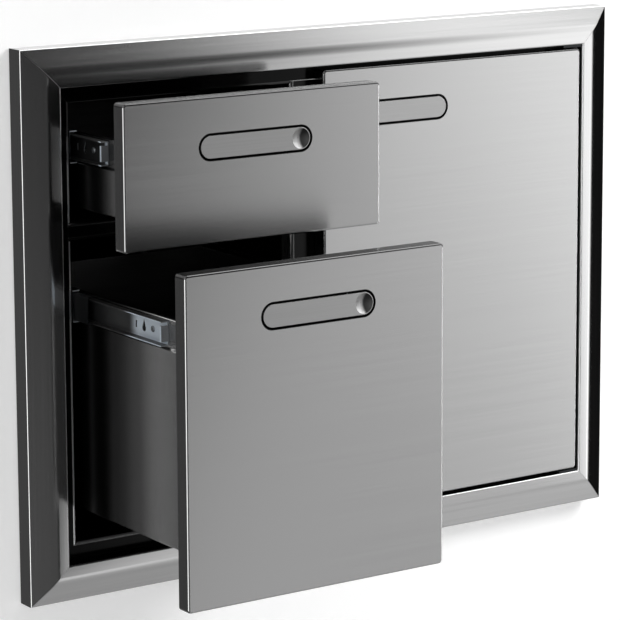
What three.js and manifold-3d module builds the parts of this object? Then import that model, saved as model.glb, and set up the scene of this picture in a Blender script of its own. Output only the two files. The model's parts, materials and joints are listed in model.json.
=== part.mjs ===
// Outdoor kitchen drawer unit for a masonry or framed island: a mitred face frame with two drawers
// on telescopic ball slides at the left and a hinged storage door at the right.
// Millimetres, +Z up, +Y into the island. The origin is the middle of the bottom rail's wall lip.
// The two drawers stand pulled out as they are shown, and the door is shut.
import * as THREE from "three";
import { mergeVertices } from "three/addons/utils/BufferGeometryUtils.js";
import Module from "manifold-3d";

const wasm = await Module();
wasm.setup();

// Face frame: four mitred members folded from sheet
const frameWidth = 800;
const frameHeight = 610;
const frameSheet = 1.5;
const wallLip = 16;
const returnDepth = 24;
const railWidth = 43;
const frameDepth = 35.5;
const bevelWidth = 25;
const blendRadius = 29;
const edgeRadius = 1.8;
const recessDepth = 19;
const rootRadius = 1.5;
const flangeWidth = 20;
const openingBend = 4;
const openingReturn = 16;

// Dividers between the openings
const drawerBayWidth = 285;
const mullionWidth = 54;
const crossRailHeight = 20;
const crossRailDrop = 7;

// Fronts: drawers at the left, door at the right
const reveal = 4.5;
const drawerFrontWidth = 325.5;
const upperFrontHeight = 157.5;
const frontGap = 4;
const doorGap = 8;
const frontThickness = 18;
const frontSheet = 1.2;
const frontCornerRadius = 4;
const frontEdgeRadius = 2.4;
const linerSheet = 1;
const linerFlange = 7;

// How far the drawers stand out
const upperPull = 120;
const lowerPull = 237;

// Slides
const slideLength = 400;
const slideSetback = 1.5;
const slideDepth = 12.1;
const slideSheet = 1.2;
const slideBend = 1.8;
const cabinetMemberHeight = 35.5;
const cabinetMemberDepth = 9.5;
const drawerMemberHeight = 26.5;
const drawerMemberDepth = 9.4;
const drawerMemberSetback = 57;
const stopPostWidth = 3.6;
const stopPostHeight = 17;
const ballWidth = 2.6;
const ballsPerRow = 5;
const ballPitch = 28;
const ballFromFront = 19;
const cageSheet = 0.6;
const cageLength = 150;
const cageSetback = 87.5;
const cageDepth = 6.7;
const cageWindowHeight = 16;
const cageWindowLength = 40;
const cageWindowFromEnd = 50;
const upperSlideDrop = 62.5;
const lowerSlideDrop = 75.5;

// Web holes of a slide member, from its front end: a screw hole, a hooked hole and a slot
const screwHoleWidth = 4.6;
const screwHoleFromFront = 29;
const hookHoleWidth = 7.6;
const hookHolePeak = 8;
const hookHoleFromFront = 47;
const hookShare = 0.4;
const slotWidth = 2.6;
const slotHeight = 7.5;
const slotFromFront = 63;
const rearHoleFromEnd = 40;

// Drawer boxes
const boxSheet = 1;
const boxHem = 6;
const boxHemTurn = 5;
const boxStep = 2.5;
const boxStepDrop = 15;
const boxBend = 1.6;
const boxTopAboveSlide = 15.5;
const boxShortfall = 1;
const upperBoxRise = 28;
const lowerBoxRise = 49.5;

// Drawer housing
const housingSheet = 1;
const housingDepth = 404;
const housingFlange = 14;
const lapLength = 12;
const joggleRun = 3;

// Flush handles
const handleSlotLength = 144;
const handleSlotHeight = 29.3;
const handleDrop = 39;
const handleShadowGap = 2.2;
const handlePlate = 3;
const handleEdge = 0.7;
const drawerHandleLeft = 92;
const doorHandleLeft = 30.5;
const dishWidth = 22.5;
const dishDepth = 6;
const dishWall = 1.5;
const pivotFromEnd = 29;
const pivotDepth = 6.5;
const pivotPinWidth = 3;
const pivotPinReach = 1.8;
const lugHeight = 3;
const lugOffset = 8.5;
const lugRadius = 3.5;
const cupSheet = 1.2;
const cupRim = 5;
const cupDepth = 16.5;
const springWire = 0.9;
const springTurns = 4;
const springPitch = 1.6;
const springLeg = 14;

// Door pivots and catch
const pivotFromSide = 4;
const pivotFromFace = 6.7;
const doorPinWidth = 3.6;
const bushWidth = 6.2;
const bushLength = 14;
const bushFlangeWidth = 7.4;
const bushFlange = 1.2;
const pivotPlate = 2.4;
const pivotPlateReach = 20;
const pivotPlateFront = 1.5;
const catchWidth = 12;
const catchHeight = 32;
const catchDepth = 11;
const catchFlange = 5;
const strikeThickness = 0.6;
const strikeMargin = 3;

// Fits shared by every piece
const gap = 0.3;
const overrun = 5;
const mergeTolerance = 0.0001;
const bendTolerance = 0.1;
const faceTolerance = 0.015;
const arcStep = THREE.MathUtils.degToRad(24);
const roundSides = 18;
const dishSides = 24;
const bossSides = 16;
const ballSides = 6;
const springSides = 4;
const springStepsPerTurn = 8;

// Sizes that follow
const faceY = -frameDepth;
const flangeY = faceY + recessDepth;
const openingMargin = railWidth + flangeWidth;
const openingTop = frameHeight - openingMargin;
const openingRight = frameWidth - openingMargin;
const mullionLeft = openingMargin + drawerBayWidth;
const mullionRight = mullionLeft + mullionWidth;
const returnEnd = flangeY + openingReturn;
const plateEnd = openingMargin - openingBend;

const frontLow = railWidth + reveal;
const frontTop = frameHeight - railWidth - reveal;
const drawerLeft = railWidth + reveal;
const drawerRight = drawerLeft + drawerFrontWidth;
const upperLow = frontTop - upperFrontHeight;
const lowerTop = upperLow - frontGap;
const doorLeft = drawerRight + doorGap;
const doorRight = frameWidth - railWidth - reveal;
const crossRailLow = upperLow - crossRailDrop;
const crossRailTop = crossRailLow + crossRailHeight;
const upperSlideHeight = frontTop - upperSlideDrop;
const lowerSlideHeight = lowerTop - lowerSlideDrop;
const upperBoxLow = upperLow + upperBoxRise;
const lowerBoxLow = frontLow + lowerBoxRise;

const slideFront = flangeY + slideSetback;
const slideRear = slideFront + slideLength;
const boxLength = slideLength - boxShortfall;
const boxLeft = openingMargin + gap + slideDepth + gap;
const boxRight = mullionLeft - gap - slideDepth - gap;
const boxFront = faceY + frontThickness + gap;

// Finishes
const finish = (color, roughness, metalness) => new THREE.MeshStandardMaterial({ color, roughness, metalness });
const brushed = finish(0xb9bbbd, 0.34, 1);
const satin = finish(0x8f9194, 0.42, 1);
const zinc = finish(0xa9b6bd, 0.38, 1);
const springSteel = finish(0x6d7072, 0.3, 1);
const nylon = finish(0x1c1d1f, 0.6, 0);

// Solids: closed geometry in and out, with joins and cuts between
function solidOf(geometry) {
  const bare = geometry.clone();
  bare.deleteAttribute("normal");
  bare.deleteAttribute("uv");
  const merged = mergeVertices(bare, mergeTolerance);
  return new wasm.Manifold(
    new wasm.Mesh({
      numProp: 3,
      vertProperties: new Float32Array(merged.attributes.position.array),
      triVerts: new Uint32Array(merged.index.array),
    }),
  );
}

function geometryOf(made) {
  const mesh = made.getMesh();
  const geometry = new THREE.BufferGeometry();
  geometry.setAttribute("position", new THREE.BufferAttribute(new Float32Array(mesh.vertProperties), 3));
  geometry.setIndex(new THREE.BufferAttribute(new Uint32Array(mesh.triVerts), 1));
  geometry.computeVertexNormals();
  return geometry;
}

function join(first, ...others) {
  return geometryOf(others.reduce((made, next) => made.add(solidOf(next)), solidOf(first)));
}

function cut(first, ...tools) {
  return geometryOf(tools.reduce((made, next) => made.subtract(solidOf(next)), solidOf(first)));
}

function common(first, second) {
  return geometryOf(solidOf(first).intersect(solidOf(second)));
}

// Plane shapes
const point = (x, y) => new THREE.Vector2(x, y);
const leftOf = (run) => new THREE.Vector2(-run.y, run.x).normalize();

// A face line with its corners rounded: each point has the normal on the left of the line.
function bentLine(corners, radii, tolerance) {
  const line = [];
  corners.forEach((corner, i) => {
    if (i === 0 || i === corners.length - 1) {
      const run = i === 0 ? corners[1].clone().sub(corner) : corner.clone().sub(corners[i - 1]);
      line.push({ at: corner, normal: leftOf(run) });
      return;
    }
    const arriving = corner.clone().sub(corners[i - 1]).normalize();
    const leaving = corners[i + 1].clone().sub(corner).normalize();
    const turn = Math.atan2(arriving.cross(leaving), arriving.dot(leaving));
    const radius = Array.isArray(radii) ? radii[i - 1] : radii;
    const side = Math.sign(turn) * radius;
    const start = corner.clone().addScaledVector(arriving, -radius * Math.tan(Math.abs(turn) / 2));
    const centre = start.clone().addScaledVector(leftOf(arriving), side);
    const step = Math.min(arcStep, 2 * Math.acos(1 - tolerance / radius));
    const steps = Math.ceil(Math.abs(turn) / step);
    for (let bend = 0; bend <= steps; bend++) {
      const normal = leftOf(arriving).rotateAround(point(0, 0), (turn * bend) / steps);
      line.push({ at: centre.clone().addScaledVector(normal, -side), normal });
    }
  });
  return line;
}

// A bent sheet's section: its face line, with the sheet's thickness to the left of it.
function sheetOutline(corners, radii, thickness, tolerance = bendTolerance) {
  const line = bentLine(corners, radii, tolerance);
  const face = line.map(({ at }) => at);
  const back = line.map(({ at, normal }) => at.clone().addScaledVector(normal, thickness)).reverse();
  return [...face, ...back];
}

function roundedRectangle(x0, x1, y0, y1, radius) {
  const outline = [];
  const centres = [
    [x1 - radius, y0 + radius, -Math.PI / 2],
    [x1 - radius, y1 - radius, 0],
    [x0 + radius, y1 - radius, Math.PI / 2],
    [x0 + radius, y0 + radius, Math.PI],
  ];
  const steps = Math.ceil(Math.PI / 2 / arcStep);
  for (const [x, y, from] of centres) {
    for (let step = 0; step <= steps; step++) {
      const angle = from + (Math.PI / 2) * (step / steps);
      outline.push(point(x + radius * Math.cos(angle), y + radius * Math.sin(angle)));
    }
  }
  return outline;
}

function capsuleOutline(x, y, length, height) {
  const radius = height / 2;
  const outline = [];
  for (const side of [1, -1]) {
    for (let step = 0; step <= roundSides / 2; step++) {
      const angle = (side * -Math.PI) / 2 + (Math.PI * step) / (roundSides / 2);
      outline.push(
        point(x + side * (length / 2 - radius) + radius * Math.cos(angle), y + radius * Math.sin(angle)),
      );
    }
  }
  return outline;
}

// Bars: an outline run along one axis. Sections read (y, z) along X, (x, z) along Y and (x, y) along Z.
function bar(outline, axis, from, to, bevelled = 0) {
  const shape = new THREE.Shape(outline);
  const options = { depth: to - from, bevelEnabled: false, steps: 1 };
  if (bevelled > 0) {
    options.depth = to - from - 2 * bevelled;
    options.bevelEnabled = true;
    options.bevelThickness = bevelled;
    options.bevelSize = bevelled;
    options.bevelOffset = -bevelled;
    options.bevelSegments = 3;
  }
  const geometry = new THREE.ExtrudeGeometry(shape, options);
  geometry.translate(0, 0, bevelled);
  if (axis === "x") {
    const turn = new THREE.Matrix4().makeBasis(
      new THREE.Vector3(0, 1, 0),
      new THREE.Vector3(0, 0, 1),
      new THREE.Vector3(1, 0, 0),
    );
    geometry.applyMatrix4(turn).translate(from, 0, 0);
  } else if (axis === "y") {
    geometry.rotateX(Math.PI / 2).translate(0, to, 0);
  } else {
    geometry.translate(0, 0, from);
  }
  return geometry;
}

function block(x0, x1, y0, y1, z0, z1) {
  const geometry = new THREE.BoxGeometry(x1 - x0, y1 - y0, z1 - z0);
  return geometry.translate((x0 + x1) / 2, (y0 + y1) / 2, (z0 + z1) / 2);
}

function rod(axis, width, from, to, a, b, sides = roundSides) {
  const geometry = new THREE.CylinderGeometry(width / 2, width / 2, to - from, sides);
  const middle = (from + to) / 2;
  if (axis === "x") return geometry.rotateZ(-Math.PI / 2).translate(middle, a, b);
  if (axis === "y") return geometry.translate(a, middle, b);
  return geometry.rotateX(Math.PI / 2).translate(a, b, middle);
}

// Mirrors a closed geometry in a plane across X, and turns its faces back outwards.
function mirroredX(geometry, plane) {
  const turned = geometry.index ? geometry.toNonIndexed() : geometry.clone();
  turned.deleteAttribute("normal");
  turned.deleteAttribute("uv");
  turned.scale(-1, 1, 1).translate(2 * plane, 0, 0);
  const places = turned.attributes.position;
  const held = new THREE.Vector3();
  const other = new THREE.Vector3();
  for (let i = 0; i < places.count; i += 3) {
    held.fromBufferAttribute(places, i + 1);
    other.fromBufferAttribute(places, i + 2);
    places.setXYZ(i + 1, other.x, other.y, other.z);
    places.setXYZ(i + 2, held.x, held.y, held.z);
  }
  return turned;
}

// The unit and its moving groups
const unit = new THREE.Group();
unit.position.set(-frameWidth / 2, 0, -wallLip / 2);
const upperDrawer = new THREE.Group();
const lowerDrawer = new THREE.Group();
const upperCages = new THREE.Group();
const lowerCages = new THREE.Group();
upperDrawer.position.y = -upperPull;
lowerDrawer.position.y = -lowerPull;
upperCages.position.y = -upperPull / 2;
lowerCages.position.y = -lowerPull / 2;
unit.add(upperDrawer, lowerDrawer, upperCages, lowerCages);

function add(name, geometry, material, group = unit) {
  const mesh = new THREE.Mesh(geometry, material);
  mesh.name = name;
  group.add(mesh);
}

// Face frame
// The section reads (distance in from the outer edge, depth): wall lip, side return, bevel, blend,
// land, recess, flange and the return into the opening.
const frameSection = sheetOutline(
  [
    point(wallLip, 0),
    point(0, 0),
    point(0, -returnDepth),
    point(bevelWidth, faceY),
    point(railWidth, faceY),
    point(railWidth, flangeY),
    point(openingMargin, flangeY),
    point(openingMargin, returnEnd),
  ],
  [edgeRadius, edgeRadius, blendRadius, edgeRadius, rootRadius, openingBend],
  frameSheet,
  faceTolerance,
);

// A member with both ends mitred at 45 degrees, laid by a function from (inset, depth, along).
function mitredMember(length, lay) {
  const options = { depth: length, bevelEnabled: false };
  const geometry = new THREE.ExtrudeGeometry(new THREE.Shape(frameSection), options);
  const places = geometry.attributes.position;
  for (let i = 0; i < places.count; i++) {
    const inset = places.getX(i);
    const along = places.getZ(i) < length / 2 ? inset + gap / 2 : length - inset - gap / 2;
    const [x, y, z] = lay(inset, places.getY(i), along);
    places.setXYZ(i, x, y, z);
  }
  return geometry;
}

// What a divider's plate takes out of a member: the bend and return between two places.
function dividerNotch(axis, from, to) {
  const inset = [plateEnd, openingMargin + overrun];
  const depth = [flangeY - overrun, returnEnd + overrun];
  if (axis === "bottom") return block(from - gap, to + gap, ...depth, ...inset);
  if (axis === "top") {
    return block(from - gap, to + gap, ...depth, frameHeight - inset[1], frameHeight - inset[0]);
  }
  return block(...inset, ...depth, from - gap, to + gap);
}

const leftStile = mitredMember(frameHeight, (inset, depth, along) => [inset, depth, along]);
const bottomRail = mitredMember(frameWidth, (inset, depth, along) => [along, depth, inset]);
const turnedBottomRail = facedOut(bottomRail);
const topRail = mitredMember(frameWidth, (inset, depth, along) => [along, depth, frameHeight - inset]);

// Turns a closed geometry's faces round where they point inwards.
function facedOut(geometry) {
  const a = new THREE.Vector3();
  const b = new THREE.Vector3();
  const c = new THREE.Vector3();
  const loose = geometry.index ? geometry.toNonIndexed() : geometry.clone();
  const places = loose.attributes.position;
  let volume = 0;
  for (let i = 0; i < places.count; i += 3) {
    a.fromBufferAttribute(places, i);
    b.fromBufferAttribute(places, i + 1);
    c.fromBufferAttribute(places, i + 2);
    volume += a.dot(b.cross(c));
  }
  return volume < 0 ? mirroredX(loose.scale(-1, 1, 1), 0) : loose;
}

add("frame_left_stile", cut(facedOut(leftStile), dividerNotch("left", crossRailLow, crossRailTop)), brushed);
add("frame_right_stile", cut(mirroredX(facedOut(leftStile), frameWidth / 2)), brushed);
add("frame_bottom_rail", cut(turnedBottomRail, dividerNotch("bottom", mullionLeft, mullionRight)), brushed);
add("frame_top_rail", cut(facedOut(topRail), dividerNotch("top", mullionLeft, mullionRight)), brushed);

// Dividers: hat channels with the same bends, their plates flush with the frame's flange
function hatOutline(low, high) {
  return sheetOutline(
    [point(low, returnEnd), point(low, flangeY), point(high, flangeY), point(high, returnEnd)],
    openingBend,
    frameSheet,
  );
}

const mullionEnds = [plateEnd + gap, frameHeight - plateEnd - gap];
const mullion = bar(hatOutline(mullionLeft, mullionRight), "z", ...mullionEnds);
const catchX = mullionRight - openingBend - gap - catchWidth / 2;
const catchZ = frameHeight / 2;
const catchWindow = block(
  catchX - catchWidth / 2 - gap,
  catchX + catchWidth / 2 + gap,
  flangeY - overrun,
  flangeY + frameSheet + gap,
  catchZ - catchHeight / 2 - gap,
  catchZ + catchHeight / 2 + gap,
);
const crossRailNotch = block(
  mullionLeft - overrun,
  mullionLeft + openingBend,
  flangeY - overrun,
  returnEnd + overrun,
  crossRailLow - gap,
  crossRailTop + gap,
);
add("mullion_post", cut(mullion, catchWindow, crossRailNotch), satin);

const crossRailEnds = [plateEnd + gap, mullionLeft + openingBend - gap];
const crossRailSection = hatOutline(crossRailLow, crossRailTop).map(({ x, y }) => point(y, x)).reverse();
const crossRail = bar(crossRailSection, "x", ...crossRailEnds);
const crossRailTrims = [
  block(crossRailEnds[0] - overrun, openingMargin - frameSheet, flangeY + frameSheet, returnEnd + overrun,
    crossRailLow - overrun, crossRailTop + overrun),
  block(mullionLeft + frameSheet, crossRailEnds[1] + overrun, flangeY + frameSheet, returnEnd + overrun,
    crossRailLow - overrun, crossRailTop + overrun),
];
add("drawer_cross_rail", cut(crossRail, ...crossRailTrims), satin);

// Drawer housing: panels that lap outside the frame's returns and step in flush behind them
const lapStart = returnEnd - lapLength;
const lapShift = frameSheet + gap;

function housingSideOutline(face, outward) {
  const corners = [
    point(face + outward * lapShift, lapStart),
    point(face + outward * lapShift, returnEnd + gap),
    point(face, returnEnd + gap + joggleRun),
    point(face, housingDepth),
    point(face - outward * housingFlange, housingDepth),
  ];
  const outline = outward < 0 ? corners : corners.map(({ x, y }) => point(2 * face - x, y));
  const section = sheetOutline(outline, [boxBend, boxBend, boxBend], housingSheet);
  return outward < 0 ? section : section.map(({ x, y }) => point(2 * face - x, y)).reverse();
}

const housingLow = openingMargin;
const housingTop = openingTop;
const sideEnds = [housingLow + gap, housingTop - gap];
add("housing_left_panel", bar(housingSideOutline(openingMargin, -1), "z", ...sideEnds), satin);
add("housing_divider_panel", bar(housingSideOutline(mullionLeft, 1), "z", ...sideEnds), satin);

// Top and bottom panels, read as (y, z)
function housingFlatOutline(face, upward) {
  const outline = sheetOutline(
    [
      point(housingDepth, face),
      point(returnEnd + gap + joggleRun, face),
      point(returnEnd + gap, face + upward * lapShift),
      point(lapStart, face + upward * lapShift),
    ],
    boxBend,
    -upward * housingSheet,
  );
  return upward < 0 ? outline.reverse() : outline;
}

function housingFlat(face, upward) {
  const wide = bar(
    housingFlatOutline(face, upward),
    "x",
    openingMargin - housingSheet,
    mullionLeft + housingSheet,
  );
  const low = Math.min(face, face + upward * (lapShift + housingSheet)) - overrun;
  const high = Math.max(face, face + upward * (lapShift + housingSheet)) + overrun;
  const clearY = [lapStart - overrun, returnEnd + gap + joggleRun + housingSheet];
  return cut(
    facedOut(wide),
    block(openingMargin - overrun, openingMargin + gap, ...clearY, low, high),
    block(mullionLeft - gap, mullionLeft + overrun, ...clearY, low, high),
  );
}

add("housing_top_panel", housingFlat(housingTop, 1), satin);
add("housing_bottom_panel", housingFlat(housingLow, -1), satin);
add(
  "housing_back_panel",
  block(
    openingMargin - housingSheet,
    mullionLeft + housingSheet,
    housingDepth + housingSheet + gap,
    housingDepth + 2 * housingSheet + gap,
    housingLow - housingSheet,
    housingTop + housingSheet,
  ),
  satin,
);

// Ball-bearing slides. Sections read (distance out from the cabinet wall, height over the centre).
function channelSection(start, end, height, sheet, opens) {
  const far = opens > 0 ? end : start;
  const web = opens > 0 ? start : end;
  const corners = [point(far, -height / 2), point(web, -height / 2), point(web, height / 2), point(far, height / 2)];
  return opens > 0 ? sheetOutline(corners.reverse(), slideBend, sheet) : sheetOutline(corners, slideBend, sheet);
}

const cageWeb = slideSheet + gap;
const ballTrack = (cabinetMemberHeight / 2 - slideSheet + drawerMemberHeight / 2) / 2;
const cabinetSection = channelSection(0, cabinetMemberDepth, cabinetMemberHeight, slideSheet, 1);
const cageSection = channelSection(cageWeb, cageWeb + cageDepth, 2 * ballTrack + cageSheet, cageSheet, 1);
const drawerMemberSection = channelSection(
  slideDepth - drawerMemberDepth,
  slideDepth,
  drawerMemberHeight,
  slideSheet,
  -1,
);

// A member drawn against a wall at x = 0 is moved to its wall, and mirrored on the right-hand one.
function seatedMember(geometry, wall, outward) {
  const seated = geometry.clone().translate(gap + (outward > 0 ? wall : 0), 0, 0);
  return outward > 0 ? seated : mirroredX(seated, wall / 2);
}

function drawerMember(wall, height, outward) {
  const front = slideFront + drawerMemberSetback;
  const section = drawerMemberSection.map(({ x, y }) => point(x, y + height));
  const webDepth = [slideDepth - slideSheet - gap, slideDepth + gap];
  const hook = [
    point(front + hookHoleFromFront - hookHoleWidth * hookShare, height),
    point(front + hookHoleFromFront + hookHoleWidth * hookShare, height),
    point(front + hookHoleFromFront, height + hookHolePeak),
  ];
  const postX = slideDepth - drawerMemberDepth + stopPostWidth / 2;
  const postReach = stopPostHeight / 2;
  const postY = front + stopPostWidth / 2;
  const post = rod("z", stopPostWidth, height - postReach, height + postReach, postX, postY, roundSides / 2);
  const closure = block(
    postX,
    slideDepth - slideSheet / 2,
    front,
    front + slideSheet,
    height - postReach,
    height + postReach,
  );
  const made = cut(
    join(facedOut(bar(section, "y", front, slideRear)), closure, post),
    rod("x", screwHoleWidth, ...webDepth, front + screwHoleFromFront, height, roundSides / 2),
    rod("x", hookHoleWidth, ...webDepth, front + hookHoleFromFront, height - hookHoleWidth / 4, roundSides / 2),
    bar(hook, "x", ...webDepth),
    block(
      ...webDepth,
      front + slotFromFront - slotWidth / 2,
      front + slotFromFront + slotWidth / 2,
      height - slotHeight / 2,
      height + slotHeight / 2,
    ),
    rod("x", screwHoleWidth, ...webDepth, slideRear - rearHoleFromEnd, height, roundSides / 2),
  );
  return seatedMember(made, wall, outward);
}

// A cage holds one row of balls over the drawer member and one under it.
function ballCage(wall, height, outward) {
  const section = cageSection.map(({ x, y }) => point(x, y + height));
  const front = slideFront + cageSetback;
  const ballX = cageWeb + cageDepth - ballWidth / 2;
  const balls = [];
  for (let i = 0; i < ballsPerRow; i++) {
    for (const side of [1, -1]) {
      const ball = new THREE.SphereGeometry(ballWidth / 2, ballSides, ballSides / 2);
      balls.push(ball.translate(ballX, front + ballFromFront + i * ballPitch, height + side * ballTrack));
    }
  }
  const windows = [front + cageWindowFromEnd, front + cageLength - cageWindowFromEnd].map((y) =>
    block(
      cageWeb - gap,
      cageWeb + cageSheet + gap,
      y - cageWindowLength / 2,
      y + cageWindowLength / 2,
      height - cageWindowHeight / 2,
      height + cageWindowHeight / 2,
    ),
  );
  const sheet = facedOut(bar(section, "y", front, front + cageLength));
  return seatedMember(cut(join(sheet, ...balls), ...windows), wall, outward);
}

function cabinetMember(wall, height, outward) {
  const section = cabinetSection.map(({ x, y }) => point(x, y + height));
  const holes = [slideFront + screwHoleFromFront, slideRear - rearHoleFromEnd].map((y) =>
    rod("x", screwHoleWidth, -gap, slideSheet + gap, y, height, roundSides / 2),
  );
  return seatedMember(cut(facedOut(bar(section, "y", slideFront, slideRear)), ...holes), wall, outward);
}

const slides = [
  { drawer: "upper", height: upperSlideHeight, cages: upperCages, box: upperDrawer },
  { drawer: "lower", height: lowerSlideHeight, cages: lowerCages, box: lowerDrawer },
];
const walls = [
  { side: "left", wall: openingMargin, outward: 1 },
  { side: "right", wall: mullionLeft, outward: -1 },
];
for (const { drawer, height, cages, box } of slides) {
  for (const { side, wall, outward } of walls) {
    const name = `${drawer}_${side}_slide`;
    add(`${name}_cabinet_member`, cabinetMember(wall, height, outward), zinc);
    add(`${name}_ball_cage`, ballCage(wall, height, outward), zinc, cages);
    add(`${name}_drawer_member`, drawerMember(wall, height, outward), zinc, box);
  }
}

// Drawer boxes: one folded sheet for both sides and the floor, and a back
function addBox(name, low, slideHeight, group) {
  const top = slideHeight + boxTopAboveSlide;
  const step = slideHeight - boxStepDrop;
  const half = [
    point(boxLeft + boxHem, top - boxHemTurn),
    point(boxLeft + boxHem, top),
    point(boxLeft, top),
    point(boxLeft, step),
    point(boxLeft - boxStep, step - boxStep),
    point(boxLeft - boxStep, low),
  ];
  const other = half.map(({ x, y }) => point(boxLeft + boxRight - x, y)).reverse();
  const tray = sheetOutline([...half, ...other], boxBend, boxSheet);
  const rear = boxFront + boxLength;
  add(`${name}_drawer_box`, facedOut(bar(tray, "y", boxFront, rear)), satin, group);
  const back = [...half.slice(2), ...other.slice(0, -2)];
  add(`${name}_drawer_back`, facedOut(bar(back, "y", rear + gap, rear + gap + boxSheet)), satin, group);
}

addBox("upper", upperBoxLow, upperSlideHeight, upperDrawer);
addBox("lower", lowerBoxLow, lowerSlideHeight, lowerDrawer);

// Fronts: a folded skin, a liner that closes its back, and a flush handle in a cup
function skin(x0, x1, z0, z1, slotX, slotZ) {
  const outer = bar(
    roundedRectangle(x0, x1, z0, z1, frontCornerRadius),
    "y",
    faceY,
    faceY + frontThickness + overrun,
    frontEdgeRadius,
  );
  const inside = roundedRectangle(
    x0 + frontSheet,
    x1 - frontSheet,
    z0 + frontSheet,
    z1 - frontSheet,
    frontCornerRadius - frontSheet,
  );
  return cut(
    outer,
    bar(inside, "y", faceY + frontSheet, faceY + frontThickness + 2 * overrun),
    block(
      x0 - overrun,
      x1 + overrun,
      faceY + frontThickness,
      faceY + frontThickness + 2 * overrun,
      z0 - overrun,
      z1 + overrun,
    ),
    bar(
      capsuleOutline(slotX, slotZ, handleSlotLength, handleSlotHeight),
      "y",
      faceY - overrun,
      faceY + frontSheet + overrun,
    ),
  );
}

function liner(x0, x1, z0, z1) {
  const inset = frontSheet + gap;
  const back = faceY + frontThickness;
  const outside = roundedRectangle(x0 + inset, x1 - inset, z0 + inset, z1 - inset, frontCornerRadius - frontSheet);
  const wall = inset + linerSheet;
  const inside = roundedRectangle(x0 + wall, x1 - wall, z0 + wall, z1 - wall, linerSheet);
  return cut(
    bar(outside, "y", back - linerFlange, back),
    bar(inside, "y", back - linerFlange - overrun, back - linerSheet),
  );
}

// The handle's own frame: x towards the long end from the pivot, seen from the front.
function addHandle(name, slotX, slotZ, dishSide, group) {
  const pivotX = slotX + dishSide * (handleSlotLength / 2 - pivotFromEnd);
  const pivotY = faceY + pivotDepth;
  const cupInside = capsuleOutline(slotX, slotZ, handleSlotLength, handleSlotHeight);
  const grow = 2 * cupSheet;
  const cupOutside = capsuleOutline(slotX, slotZ, handleSlotLength + grow, handleSlotHeight + grow);
  const rim = capsuleOutline(slotX, slotZ, handleSlotLength + 2 * cupRim, handleSlotHeight + 2 * cupRim);
  const rimFront = faceY + frontSheet + gap;
  const pinReach = handleSlotHeight / 2 + cupSheet + pivotPinReach;
  const pinHole = rod("z", pivotPinWidth + 2 * gap, slotZ - pinReach, slotZ + pinReach, pivotX, pivotY, roundSides / 2);
  add(
    `${name}_handle_cup`,
    cut(
      join(bar(rim, "y", rimFront, rimFront + cupSheet), bar(cupOutside, "y", rimFront, faceY + cupDepth)),
      bar(cupInside, "y", rimFront - overrun, faceY + cupDepth - cupSheet),
      pinHole,
    ),
    satin,
    group,
  );

  const trim = 2 * handleShadowGap;
  const plate = bar(
    capsuleOutline(slotX, slotZ, handleSlotLength - trim, handleSlotHeight - trim),
    "y",
    faceY,
    faceY + handlePlate,
    handleEdge,
  );
  const dishX = slotX + dishSide * (handleSlotLength / 2 - handleSlotHeight / 2);
  const dishRadius = (dishWidth * dishWidth / 4 + dishDepth * dishDepth) / (2 * dishDepth);
  const dishY = faceY + dishDepth - dishRadius;
  const ball = (radius, sides) => {
    const sphere = new THREE.SphereGeometry(radius, sides, sides / 2);
    return sphere.translate(dishX, dishY, slotZ);
  };
  const behind = block(
    dishX - dishWidth,
    dishX + dishWidth,
    faceY + handlePlate - handleEdge,
    faceY + cupDepth,
    slotZ - dishWidth,
    slotZ + dishWidth,
  );
  const boss = common(ball(dishRadius + dishWall, bossSides), behind);
  const lugs = [1, -1].map((side) => {
    const inner = slotZ + side * lugOffset;
    const outer = slotZ + side * (lugOffset + lugHeight);
    const ends = [Math.min(inner, outer), Math.max(inner, outer)];
    return join(
      rod("z", 2 * lugRadius, ...ends, pivotX, pivotY),
      block(pivotX - lugRadius, pivotX + lugRadius, faceY + handlePlate / 2, pivotY, ...ends),
    );
  });
  add(
    `${name}_handle`,
    cut(join(plate, boss, ...lugs), ball(dishRadius, dishSides), pinHole),
    brushed,
    group,
  );
  add(
    `${name}_handle_pin`,
    rod("z", pivotPinWidth, slotZ - pinReach, slotZ + pinReach, pivotX, pivotY, roundSides / 2),
    zinc,
    group,
  );
  add(`${name}_handle_spring`, handleSpring(pivotX, pivotY, slotZ, -dishSide), springSteel, group);
}

// A torsion spring round the pin: one leg on the handle's back, the other on the cup's floor.
function handleSpring(pivotX, pivotY, slotZ, longSide) {
  const radius = pivotPinWidth / 2 + gap + springWire;
  const steps = springTurns * springStepsPerTurn;
  const places = [];
  const handleBack = faceY + handlePlate + gap + springWire / 2;
  const cupFloor = faceY + cupDepth - cupSheet - gap - springWire / 2;
  const rise = springTurns * springPitch;
  places.push(new THREE.Vector3(pivotX + longSide * springLeg, handleBack, slotZ - rise / 2));
  places.push(new THREE.Vector3(pivotX + longSide * radius, handleBack, slotZ - rise / 2));
  for (let step = 0; step <= steps; step++) {
    const angle = -Math.PI / 2 + (2 * Math.PI * step) / springStepsPerTurn;
    const share = step / steps;
    places.push(
      new THREE.Vector3(
        pivotX - longSide * radius * Math.cos(angle),
        pivotY + radius * Math.sin(angle),
        slotZ + rise * (share - 0.5),
      ),
    );
  }
  places.push(new THREE.Vector3(pivotX - longSide * springLeg, cupFloor, slotZ + rise / 2));
  const path = new THREE.CatmullRomCurve3(places, false, "centripetal");
  const ring = [];
  for (let side = 0; side < springSides; side++) {
    const angle = (2 * Math.PI * side) / springSides;
    ring.push(point((springWire / 2) * Math.cos(angle), (springWire / 2) * Math.sin(angle)));
  }
  const coil = new THREE.ExtrudeGeometry(new THREE.Shape(ring), {
    steps: steps + springStepsPerTurn,
    bevelEnabled: false,
    extrudePath: path,
  });
  return facedOut(coil);
}

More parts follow.
